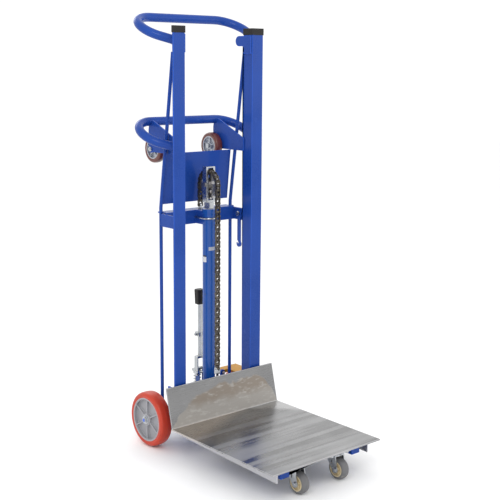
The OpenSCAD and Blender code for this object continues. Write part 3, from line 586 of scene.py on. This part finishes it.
def wrap_chain():
    """The links over the sprocket, from the front run to the rear one."""
    bm = bmesh.new()
    step = math.pi / WRAP_LINKS
    centre = Matrix.Translation((0, SHAFT_Y, SHAFT_Z))
    for k in range(WRAP_LINKS):
        place = (centre @ Matrix.Rotation(-k * step, 4, "X") @ Matrix.Translation((0, -PITCH_R, 0))
                 @ Matrix.Rotation(math.pi - step / 2, 4, "X"))
        add_link(bm, k % 2 == 0, place)
    add_piece("chain_over_sprocket", bm, "chain_steel", "ram", replaces=["chain_wrap"], smooth=40.0)


def rear_chain():
    """The run from the anchor. Its spare links nest in the run's own and spread as the ram rises."""
    own = round((SHAFT_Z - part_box("chain_rear")[0].z - 6 * MM) / PITCH)
    bm = bmesh.new()
    weights = []
    for m in range(own + STROKE_PITCHES):
        rest = m if m < own else own - 1 - (m - own + 1) % 2
        size = 1.0 - NESTED_THINNER * (m - rest) / 2
        z = SHAFT_Z - (own - 1 - rest) * PITCH
        add_link(bm, m % 2 == 0, Matrix.Translation((0, REAR_Y, z)), size)
        weights += [(m - rest) / STROKE_PITCHES] * (len(bm.verts) - len(weights))
    piece = add_piece("chain_rear_links", bm, "chain_steel", None, smooth=40.0, replaces=["chain_rear"],
                      blended=("frame", "ram", (0, REAR_Y, SHAFT_Z - PITCH), (0, REAR_Y, SHAFT_Z)))
    set_weights(piece, weights)


front_chain()
wrap_chain()
rear_chain()


# ---- Pump spring, pedal grip and labels ----

def return_spring():
    """A wound helix that closes up as the plunger goes down."""
    low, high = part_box("return_spring")
    wire = 2.1 * MM
    radius = (high.x - low.x) / 2 - wire
    centre = (low + high) / 2
    turns, steps = 5.5, 40
    flat = 0.75                                   # closed turns at each end
    points = []
    for i in range(int(turns * steps) + 1):
        turn = i / steps
        rise = min(max((turn - flat) / (turns - 2 * flat), 0.0), 1.0)
        z = low.z + wire + (high.z - low.z - 2 * wire) * rise
        angle = 2 * math.pi * turn
        points.append(Vector((centre.x + radius * math.cos(angle), centre.y + radius * math.sin(angle), z)))
    bm = bmesh.new()
    sweep(bm, points, wire, sides=10)
    add_piece("return_spring_coil", bm, "zinc_plate", None, replaces=["return_spring"], smooth=50.0,
              blended=("frame", "plunger", (centre.x, centre.y, low.z), (centre.x, centre.y, high.z)))


def pedal_grip():
    """A tapered rubber grip with upright ribs round it."""
    low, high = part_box("pedal_grip")
    middle = (low + high) / 2
    half_x, half_y = (high.x - low.x) / 2, (high.y - low.y) / 2
    bm = bmesh.new()
    rings = []
    heights = [(0.0, 0.86), (0.02, 0.90), (0.30, 0.92), (0.90, 1.0), (0.965, 0.99), (1.0, 0.90)]
    steps = 96
    square = 5.0                                  # the higher, the squarer the outline
    for share, size in heights:
        ring = []
        for k in range(steps):
            a = 2 * math.pi * k / steps
            x = math.copysign(abs(math.cos(a)) ** (2 / square), math.cos(a))
            y = math.copysign(abs(math.sin(a)) ** (2 / square), math.sin(a))
            rib = 1.0 - 0.035 * (k % 4 in (0, 1)) * (0.05 < share < 0.95)
            ring.append(bm.verts.new((middle.x + x * half_x * size * rib, middle.y + y * half_y * size * rib,
                                      low.z + (high.z - low.z) * share)))
        rings.append(ring)
    for here, there in zip(rings, rings[1:]):
        for k in range(steps):
            n = (k + 1) % steps
            bm.faces.new((here[k], here[n], there[n], there[k]))
    bm.faces.new(rings[0][::-1])
    bm.faces.new(rings[-1])
    add_piece("pedal_grip_ribbed", bm, "black_vinyl", "pedal", replaces=["pedal_grip"], smooth=30.0)


BARREL_R = 23.5 * MM


def barrel_label(name, middle_angle, spread, z0, z1, colour):
    """A blank sticker on the barrel; angles in degrees, 0 towards +X and -90 towards the platform."""
    low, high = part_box("cylinder_barrel")
    centre = (low + high) / 2
    inner = BARREL_R + 0.05 * MM
    outer = BARREL_R + 0.35 * MM
    steps = 10
    bm = bmesh.new()
    columns = []
    for k in range(steps + 1):
        a = math.radians(middle_angle - spread / 2 + spread * k / steps)
        columns.append([bm.verts.new((centre.x + r * math.cos(a), centre.y + r * math.sin(a), z))
                        for r, z in ((inner, z0), (outer, z0), (outer, z1), (inner, z1))])
    for here, there in zip(columns, columns[1:]):
        for i in range(4):
            j = (i + 1) % 4
            bm.faces.new((here[i], here[j], there[j], there[i]))
    bm.faces.new(columns[0][::-1])
    bm.faces.new(columns[-1])
    add_piece(name, bm, "cylinder_paint", "frame", materials=[label_material(name, colour)])


return_spring()
pedal_grip()
barrel_label("label_grey", -100, 62, 0.723, 0.736, (0.36, 0.38, 0.44))
barrel_label("label_white", -172, 40, 0.679, 0.699, (0.66, 0.66, 0.66))
barrel_label("label_dark_band", -172, 40, 0.6995, 0.704, (0.02, 0.02, 0.025))


# ---- Weld beads ----

def bead(bm, points, size):
    """A rippled bead along points 1 mm apart."""
    sweep(bm, points, lambda i: size * (1.0 + 0.16 * math.sin(i * 1.9) + 0.05 * math.sin(i * 0.7)), sides=8)


def line(start, end, step=1.0 * MM):
    """Points from start to end, about one step apart."""
    start, end = Vector(start), Vector(end)
    count = max(2, round((end - start).length / step))
    return [start.lerp(end, k / count) for k in range(count + 1)]


def rim_points(node, x, step=1.2 * MM):
    """Where the foot of a handle's outer surface meets the plane at x, as a closed ring in order."""
    foot_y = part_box(node)[0].y + 60 * MM
    found = [v.co for v in frame["nodes"][node].data.vertices
             if abs(v.co.x - x) < 0.15 * MM and v.co.y < foot_y]
    if not found:
        return []
    middle = sum(found, Vector()) / len(found)
    far = {}
    for co in found:
        key = round(math.atan2(co.z - middle.z, co.y - middle.y) / math.radians(6))
        reach = (co - middle).length
        if key not in far or reach > far[key][0]:
            far[key] = (reach, co)
    corners = [far[k][1] for k in sorted(far)]
    ring = []
    for here, there in zip(corners, corners[1:] + corners[:1]):
        count = max(1, round((there - here).length / step))
        ring += [here.lerp(there, k / count) for k in range(count)]
    return ring


TAB_T = 6.0 * MM
ROD_D = 12.7 * MM
POST_LEG = 50.0 * MM
POST_WALL = 6.35 * MM
STRAP_LAP = 18.0 * MM


def frame_welds():
    """Beads where pieces meet the posts, the same on both sides."""
    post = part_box("right_post")
    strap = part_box("side_straps")
    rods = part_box("truss_rods")
    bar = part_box("crossbar")
    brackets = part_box("dock_brackets")
    inner_x = post[0].x + TAB_T
    outer_x = inner_x + POST_WALL
    leg_rear = post[0].y + POST_LEG
    rod_top = rods[1].z
    low, high = strap[0].z + 2 * MM, strap[1].z - 2 * MM
    rod_front = rods[1].y - ROD_D + 0.3 * MM
    bracket_z = brackets[0].z + 4 * MM
    # (start, run, radius): stop tab, the strap's two edges on the post, strap and rod, the rod's
    # top end, crossbar, dock wheel bracket
    lines = [
        ((inner_x - 0.2 * MM, post[0].y + 4 * MM, rod_top + 2 * MM), (0, 0, 56 * MM), 1.5 * MM),
        ((outer_x, leg_rear + 0.5 * MM, low), (0, 0, high - low), 2.0 * MM),
        ((outer_x + 0.3 * MM, leg_rear - STRAP_LAP, low), (0, 0, high - low), 2.2 * MM),
        ((strap[1].x, rod_front, low), (0, 0, high - low), 1.8 * MM),
        ((outer_x + 1.5 * MM, leg_rear + 3 * MM, rod_top - 26 * MM), (0, -3 * MM, 22 * MM), 2.2 * MM),
        ((outer_x, bar[1].y - 46 * MM, bar[1].z), (0, 22 * MM, 0), 1.8 * MM),
        ((inner_x, leg_rear + 0.3 * MM, bracket_z), (0, 0, 42 * MM), 1.8 * MM),
    ]
    bm = bmesh.new()
    for sign in (-1, 1):
        for start, along, size in lines:
            first = Vector((sign * start[0], start[1], start[2]))
            bead(bm, line(first, first + Vector(along)), size)
    add_piece("frame_weld_beads", bm, "blue_paint", "frame", smooth=60.0)


def handle_welds():
    """A bead round each handle end, where the tube meets the post."""
    wall_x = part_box("right_post")[0].x + TAB_T + POST_WALL
    bm = bmesh.new()
    for node in ("upper_handle", "lower_handle"):
        for sign in (-1, 1):
            ring = rim_points(node, sign * wall_x)
            if len(ring) > 8:
                sweep(bm, ring, lambda i: 1.9 * MM * (1.0 + 0.18 * math.sin(i * 1.9)), closed=True)
    add_piece("handle_weld_beads", bm, "blue_paint", "frame", smooth=60.0)


TUBE_SIDE = 38.1 * MM
TUBE_TOP_OVER_PLATE = 17.4 * MM


def tube_end_caps():
    """Blue plates that close the front ends of the two base tubes."""
    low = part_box("base_frame")[0]
    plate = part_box("caster_plates")
    width = TUBE_SIDE - 1 * MM
    middle_x = -low.x - TUBE_SIDE / 2
    middle_z = plate[1].z + TUBE_TOP_OVER_PLATE - TUBE_SIDE / 2
    bm = bmesh.new()
    for sign in (-1, 1):
        for corner in bmesh.ops.create_cube(bm, size=1.0)["verts"]:
            corner.co = (sign * middle_x + corner.co.x * width,
                         low.y + 0.5 * MM + corner.co.y * 3 * MM, middle_z + corner.co.z * width)
    add_piece("tube_end_caps", bm, "blue_paint", "frame", bevel=0.8 * MM)


def axle_paint():
    """A dab of thick blue paint on the left end of the rear axle."""
    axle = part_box("rear_axle")
    centre = (axle[0].x, (axle[0].y + axle[1].y) / 2, (axle[0].z + axle[1].z) / 2)
    bm = bmesh.new()
    lathe(bm, [(0.4 * MM, -1.6 * MM), (3.5 * MM, -1.3 * MM), (6.0 * MM, -0.6 * MM),
               (6.9 * MM, 0.3 * MM), (0.4 * MM, 0.4 * MM)], centre, steps=28)
    add_piece("axle_paint_dab", bm, "blue_paint", "frame", smooth=60.0,
              materials=[finish_material("dab_paint", (0.05, 0.14, 0.62), tint=0.12, grain=500.0)])


frame_welds()
handle_welds()
tube_end_caps()
axle_paint()


# ---- Stage, light and camera ----

# The camera that was fitted to the photo: place in metres, angles in degrees, lens in millimetres
CAMERA_AT = (-2.27211, -2.63377, 1.3939)
HEADING, PITCH_DOWN, ROLL = 40.89, 10.44, 0.47
LENS = 72.57


def make_camera():
    """The photo's view: heading is from +Y towards +X, and pitch is down from level."""
    data = bpy.data.cameras.new("camera")
    data.lens = LENS
    data.sensor_width = 36.0
    data.clip_end = 60.0
    camera = bpy.data.objects.new("camera", data)
    bpy.context.scene.collection.objects.link(camera)
    heading, pitch, roll = (math.radians(v) for v in (HEADING, PITCH_DOWN, ROLL))
    forward = Vector((math.sin(heading) * math.cos(pitch), math.cos(heading) * math.cos(pitch),
                      -math.sin(pitch)))
    right = Vector((math.cos(heading), -math.sin(heading), 0.0))
    up = right.cross(forward)
    tilted_right = right * math.cos(roll) + up * math.sin(roll)
    tilted_up = up * math.cos(roll) - right * math.sin(roll)
    turn = Matrix((tilted_right, tilted_up, -forward)).transposed()
    camera.matrix_world = Matrix.Translation(CAMERA_AT) @ turn.to_4x4()
    bpy.context.scene.camera = camera


def make_floor():
    """A wide white floor, just under the wheels."""
    bm = bmesh.new()
    bmesh.ops.create_grid(bm, x_segments=1, y_segments=1, size=14.0)
    mesh = bpy.data.meshes.new("floor")
    bm.to_mesh(mesh)
    bm.free()
    floor = bpy.data.objects.new("floor", mesh)
    floor.location = (0.0, 0.0, -0.0005)
    bpy.context.scene.collection.objects.link(floor)
    mesh.materials.append(finish_material("floor_paint", (0.95, 0.95, 0.95), roughness=0.7, tint=0.01,
                                          spread=0.04, grain=60.0, depth=0.00001))


def area_light(name, place, target, size, power):
    """A rectangular lamp at place that shines on target; power in watts."""
    data = bpy.data.lights.new(name, "AREA")
    data.shape = "RECTANGLE"
    data.size, data.size_y = size
    data.energy = power
    light = bpy.data.objects.new(name, data)
    bpy.context.scene.collection.objects.link(light)
    light.location = place
    light.rotation_euler = (Vector(target) - Vector(place)).to_track_quat("-Z", "Y").to_euler()


def make_light():
    """A white surround and three soft lamps."""
    world = bpy.data.worlds.new("studio")
    world.use_nodes = True
    background = world.node_tree.nodes["Background"]
    background.inputs["Color"].default_value = (1.0, 1.0, 1.0, 1.0)
    background.inputs["Strength"].default_value = 1.08
    bpy.context.scene.world = world
    area_light("key", (-2.6, -2.2, 3.2), (0.0, 0.0, 0.7), (1.8, 1.8), 45.0)
    area_light("fill", (2.8, -2.4, 2.0), (0.0, 0.0, 0.6), (2.0, 2.0), 12.0)
    area_light("back", (0.6, 3.0, 2.6), (0.0, 0.0, 0.9), (2.0, 1.2), 16.0)


make_camera()
make_floor()
make_light()
bpy.context.scene.view_settings.view_transform = "Standard"
